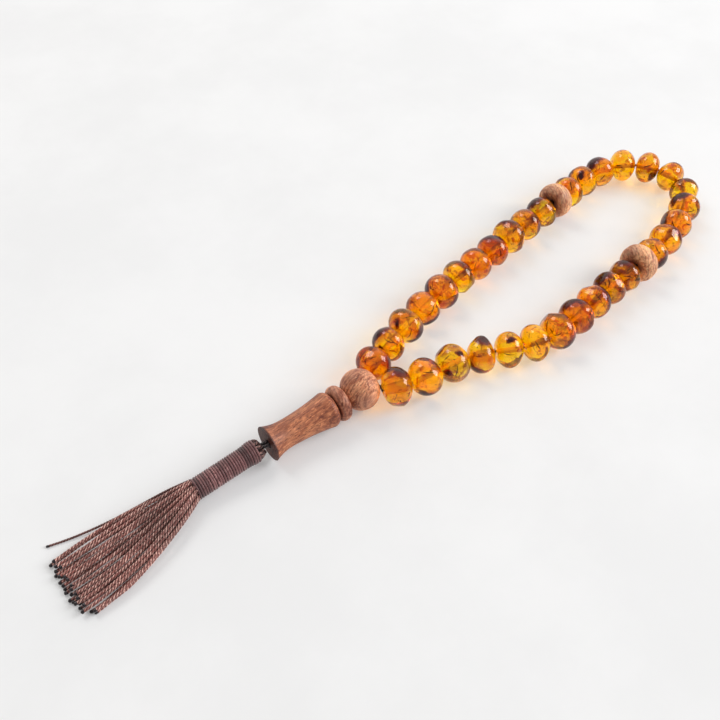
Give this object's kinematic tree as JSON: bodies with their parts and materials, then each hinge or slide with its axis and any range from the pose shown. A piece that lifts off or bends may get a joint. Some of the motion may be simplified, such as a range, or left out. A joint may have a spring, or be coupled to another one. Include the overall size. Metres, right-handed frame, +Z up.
{
  "type": "misbaha prayer beads",
  "caption": "String of round amber-look prayer beads with wooden dividers, a turned wooden imam and a bound cord tassel, lying in a loop.",
  "frame": {"origin": "under the middle of the loop, the imam and the tassel's bound head, in the plane of the table they lie on", "axes": "+X from the tassel to the far end of the bead loop, +Z up from the table, +Y to the left of +X"},
  "size_m": [0.2228, 0.0532, 0.0114],
  "materials": {
    "amber_resin": "clear glossy amber resin, streaked",
    "pale_wood": "satin, pinkish tan",
    "rosewood": "satin, reddish brown",
    "black_cord": "waxed cord",
    "brown_cord": "twisted cord",
    "binding_thread": "wound thread"
  },
  "bodies": {
    "cord": {"loop_cord": "black_cord"},
    "bead_01": {"bead_01": "amber_resin"},
    "bead_02": {"bead_02": "amber_resin"},
    "bead_03": {"bead_03": "amber_resin"},
    "bead_04": {"bead_04": "amber_resin"},
    "bead_05": {"bead_05": "amber_resin"},
    "bead_06": {"bead_06": "amber_resin"},
    "bead_07": {"bead_07": "amber_resin"},
    "bead_08": {"bead_08": "amber_resin"},
    "bead_09": {"bead_09": "amber_resin"},
    "bead_10": {"bead_10": "amber_resin"},
    "bead_11": {"bead_11": "amber_resin"},
    "divider_1": {"divider_1": "pale_wood"},
    "bead_12": {"bead_12": "amber_resin"},
    "bead_13": {"bead_13": "amber_resin"},
    "bead_14": {"bead_14": "amber_resin"},
    "bead_15": {"bead_15": "amber_resin"},
    "bead_16": {"bead_16": "amber_resin"},
    "bead_17": {"bead_17": "amber_resin"},
    "bead_18": {"bead_18": "amber_resin"},
    "bead_19": {"bead_19": "amber_resin"},
    "bead_20": {"bead_20": "amber_resin"},
    "bead_21": {"bead_21": "amber_resin"},
    "bead_22": {"bead_22": "amber_resin"},
    "divider_2": {"divider_2": "pale_wood"},
    "bead_23": {"bead_23": "amber_resin"},
    "bead_24": {"bead_24": "amber_resin"},
    "bead_25": {"bead_25": "amber_resin"},
    "bead_26": {"bead_26": "amber_resin"},
    "bead_27": {"bead_27": "amber_resin"},
    "bead_28": {"bead_28": "amber_resin"},
    "bead_29": {"bead_29": "amber_resin"},
    "bead_30": {"bead_30": "amber_resin"},
    "bead_31": {"bead_31": "amber_resin"},
    "bead_32": {"bead_32": "amber_resin"},
    "bead_33": {"bead_33": "amber_resin"},
    "imam_round_bead": {"imam_round_bead": "rosewood"},
    "imam_disc": {"imam_disc": "rosewood"},
    "imam_baluster": {"imam_baluster": "rosewood"},
    "neck": {"neck_cords": "black_cord"},
    "tassel": {"tassel_crown": "brown_cord", "end_knot": "black_cord", "tassel_core": "brown_cord", "binding_thread": "binding_thread", "skirt_strands_1": "brown_cord", "skirt_strands_2": "brown_cord", "skirt_strands_3": "brown_cord", "skirt_strands_4": "brown_cord", "skirt_strands_5": "brown_cord", "skirt_strands_6": "brown_cord", "skirt_strands_7": "brown_cord", "stray_strand": "brown_cord"}
  },
  "joints": [
    {"name": "neck_swing", "type": "hinge", "parent": "cord", "child": "neck", "pos_m": [-0.0731, -0.0065, 0.00475], "axis": [0, 0, 1], "range_deg": [-35, 35]},
    {"name": "tassel_lift", "type": "hinge", "parent": "neck", "child": "tassel", "pos_m": [-0.0746, -0.0062, 0.00465], "axis": [0, 1, 0], "range_deg": [0, 35]},
    {"name": "imam_round_bead_spin", "type": "hinge", "parent": "cord", "child": "imam_round_bead", "pos_m": [-0.045, -0.0065, 0.0055], "axis": [1, 0, 0], "continuous": true},
    {"name": "imam_disc_spin", "type": "hinge", "parent": "cord", "child": "imam_disc", "pos_m": [-0.0517, -0.0065, 0.0048], "axis": [1, 0, 0], "continuous": true},
    {"name": "imam_baluster_spin", "type": "hinge", "parent": "cord", "child": "imam_baluster", "pos_m": [-0.0632, -0.0065, 0.00475], "axis": [1, 0, 0], "continuous": true},
    {"name": "bead_01_spin", "type": "hinge", "parent": "cord", "child": "bead_01", "pos_m": [-0.03651, -0.00103, 0.0049], "axis": [0.8967, 0.4426, 0], "continuous": true},
    {"name": "bead_02_spin", "type": "hinge", "parent": "cord", "child": "bead_02", "pos_m": [-0.02911, 0.00194, 0.0049], "axis": [0.9534, 0.3016, 0], "continuous": true},
    {"name": "bead_03_spin", "type": "hinge", "parent": "cord", "child": "bead_03", "pos_m": [-0.02136, 0.00441, 0.0052], "axis": [0.952, 0.3061, 0], "continuous": true},
    {"name": "bead_04_spin", "type": "hinge", "parent": "cord", "child": "bead_04", "pos_m": [-0.01334, 0.00676, 0.005], "axis": [0.9664, 0.2571, 0], "continuous": true},
    {"name": "bead_05_spin", "type": "hinge", "parent": "cord", "child": "bead_05", "pos_m": [-0.00502, 0.00875, 0.0052], "axis": [0.9783, 0.2073, 0], "continuous": true},
    {"name": "bead_06_spin", "type": "hinge", "parent": "cord", "child": "bead_06", "pos_m": [0.00286, 0.01035, 0.0051], "axis": [0.9818, 0.1902, 0], "continuous": true},
    {"name": "bead_07_spin", "type": "hinge", "parent": "cord", "child": "bead_07", "pos_m": [0.01055, 0.01177, 0.0049], "axis": [0.9847, 0.1741, 0], "continuous": true},
    {"name": "bead_08_spin", "type": "hinge", "parent": "cord", "child": "bead_08", "pos_m": [0.01844, 0.0132, 0.0049], "axis": [0.9833, 0.1819, 0], "continuous": true},
    {"name": "bead_09_spin", "type": "hinge", "parent": "cord", "child": "bead_09", "pos_m": [0.02632, 0.01468, 0.0053], "axis": [0.9823, 0.1874, 0], "continuous": true},
    {"name": "bead_10_spin", "type": "hinge", "parent": "cord", "child": "bead_10", "pos_m": [0.03432, 0.01612, 0.0049], "axis": [0.9861, 0.1664, 0], "continuous": true},
    {"name": "bead_11_spin", "type": "hinge", "parent": "cord", "child": "bead_11", "pos_m": [0.04234, 0.01739, 0.0049], "axis": [0.9892, 0.1466, 0], "continuous": true},
    {"name": "divider_1_spin", "type": "hinge", "parent": "cord", "child": "divider_1", "pos_m": [0.04921, 0.01846, 0.0057], "axis": [0.9864, 0.1644, 0], "continuous": true},
    {"name": "bead_12_spin", "type": "hinge", "parent": "cord", "child": "bead_12", "pos_m": [0.05596, 0.01965, 0.005], "axis": [0.9835, 0.1807, 0], "continuous": true},
    {"name": "bead_13_spin", "type": "hinge", "parent": "cord", "child": "bead_13", "pos_m": [0.06381, 0.02095, 0.0049], "axis": [0.9894, 0.1453, 0], "continuous": true},
    {"name": "bead_14_spin", "type": "hinge", "parent": "cord", "child": "bead_14", "pos_m": [0.07211, 0.02123, 0.0048], "axis": [0.9977, -0.0678, 0], "continuous": true},
    {"name": "bead_15_spin", "type": "hinge", "parent": "cord", "child": "bead_15", "pos_m": [0.08002, 0.01878, 0.0051], "axis": [0.8553, -0.5181, 0], "continuous": true},
    {"name": "bead_16_spin", "type": "hinge", "parent": "cord", "child": "bead_16", "pos_m": [0.08585, 0.0133, 0.005], "axis": [0.5635, -0.8261, 0], "continuous": true},
    {"name": "bead_17_spin", "type": "hinge", "parent": "cord", "child": "bead_17", "pos_m": [0.0884, 0.00587, 0.0048], "axis": [0.0679, -0.9977, 0], "continuous": true},
    {"name": "bead_18_spin", "type": "hinge", "parent": "cord", "child": "bead_18", "pos_m": [0.08625, -0.00167, 0.0045], "axis": [-0.5781, -0.816, 0], "continuous": true},
    {"name": "bead_19_spin", "type": "hinge", "parent": "cord", "child": "bead_19", "pos_m": [0.07974, -0.00715, 0.0048], "axis": [-0.893, -0.4501, 0], "continuous": true},
    {"name": "bead_20_spin", "type": "hinge", "parent": "cord", "child": "bead_20", "pos_m": [0.07161, -0.01087, 0.0048], "axis": [-0.9255, -0.3788, 0], "continuous": true},
    {"name": "bead_21_spin", "type": "hinge", "parent": "cord", "child": "bead_21", "pos_m": [0.06342, -0.01379, 0.0049], "axis": [-0.9561, -0.2932, 0], "continuous": true},
    {"name": "bead_22_spin", "type": "hinge", "parent": "cord", "child": "bead_22", "pos_m": [0.05519, -0.01565, 0.0049], "axis": [-0.9897, -0.1433, 0], "continuous": true},
    {"name": "divider_2_spin", "type": "hinge", "parent": "cord", "child": "divider_2", "pos_m": [0.04824, -0.01661, 0.0057], "axis": [-0.9921, -0.1252, 0], "continuous": true},
    {"name": "bead_23_spin", "type": "hinge", "parent": "cord", "child": "bead_23", "pos_m": [0.04174, -0.01737, 0.0048], "axis": [-0.9938, -0.111, 0], "continuous": true},
    {"name": "bead_24_spin", "type": "hinge", "parent": "cord", "child": "bead_24", "pos_m": [0.03445, -0.01829, 0.0049], "axis": [-0.9903, -0.1388, 0], "continuous": true},
    {"name": "bead_25_spin", "type": "hinge", "parent": "cord", "child": "bead_25", "pos_m": [0.02681, -0.0195, 0.005], "axis": [-0.9849, -0.173, 0], "continuous": true},
    {"name": "bead_26_spin", "type": "hinge", "parent": "cord", "child": "bead_26", "pos_m": [0.01863, -0.02087, 0.0052], "axis": [-0.9878, -0.156, 0], "continuous": true},
    {"name": "bead_27_spin", "type": "hinge", "parent": "cord", "child": "bead_27", "pos_m": [0.01035, -0.02178, 0.0054], "axis": [-0.998, -0.0628, 0], "continuous": true},
    {"name": "bead_28_spin", "type": "hinge", "parent": "cord", "child": "bead_28", "pos_m": [0.00252, -0.02124, 0.0052], "axis": [-0.9775, 0.211, 0], "continuous": true},
    {"name": "bead_29_spin", "type": "hinge", "parent": "cord", "child": "bead_29", "pos_m": [-0.00467, -0.01877, 0.005], "axis": [-0.9011, 0.4335, 0], "continuous": true},
    {"name": "bead_30_spin", "type": "hinge", "parent": "cord", "child": "bead_30", "pos_m": [-0.01192, -0.01568, 0.0052], "axis": [-0.9362, 0.3515, 0], "continuous": true},
    {"name": "bead_31_spin", "type": "hinge", "parent": "cord", "child": "bead_31", "pos_m": [-0.02, -0.01372, 0.0053], "axis": [-0.9924, 0.1233, 0], "continuous": true},
    {"name": "bead_32_spin", "type": "hinge", "parent": "cord", "child": "bead_32", "pos_m": [-0.02867, -0.01297, 0.0052], "axis": [-0.9987, 0.0512, 0], "continuous": true},
    {"name": "bead_33_spin", "type": "hinge", "parent": "cord", "child": "bead_33", "pos_m": [-0.03683, -0.01144, 0.0054], "axis": [-0.9461, 0.324, 0], "continuous": true}
  ]
}
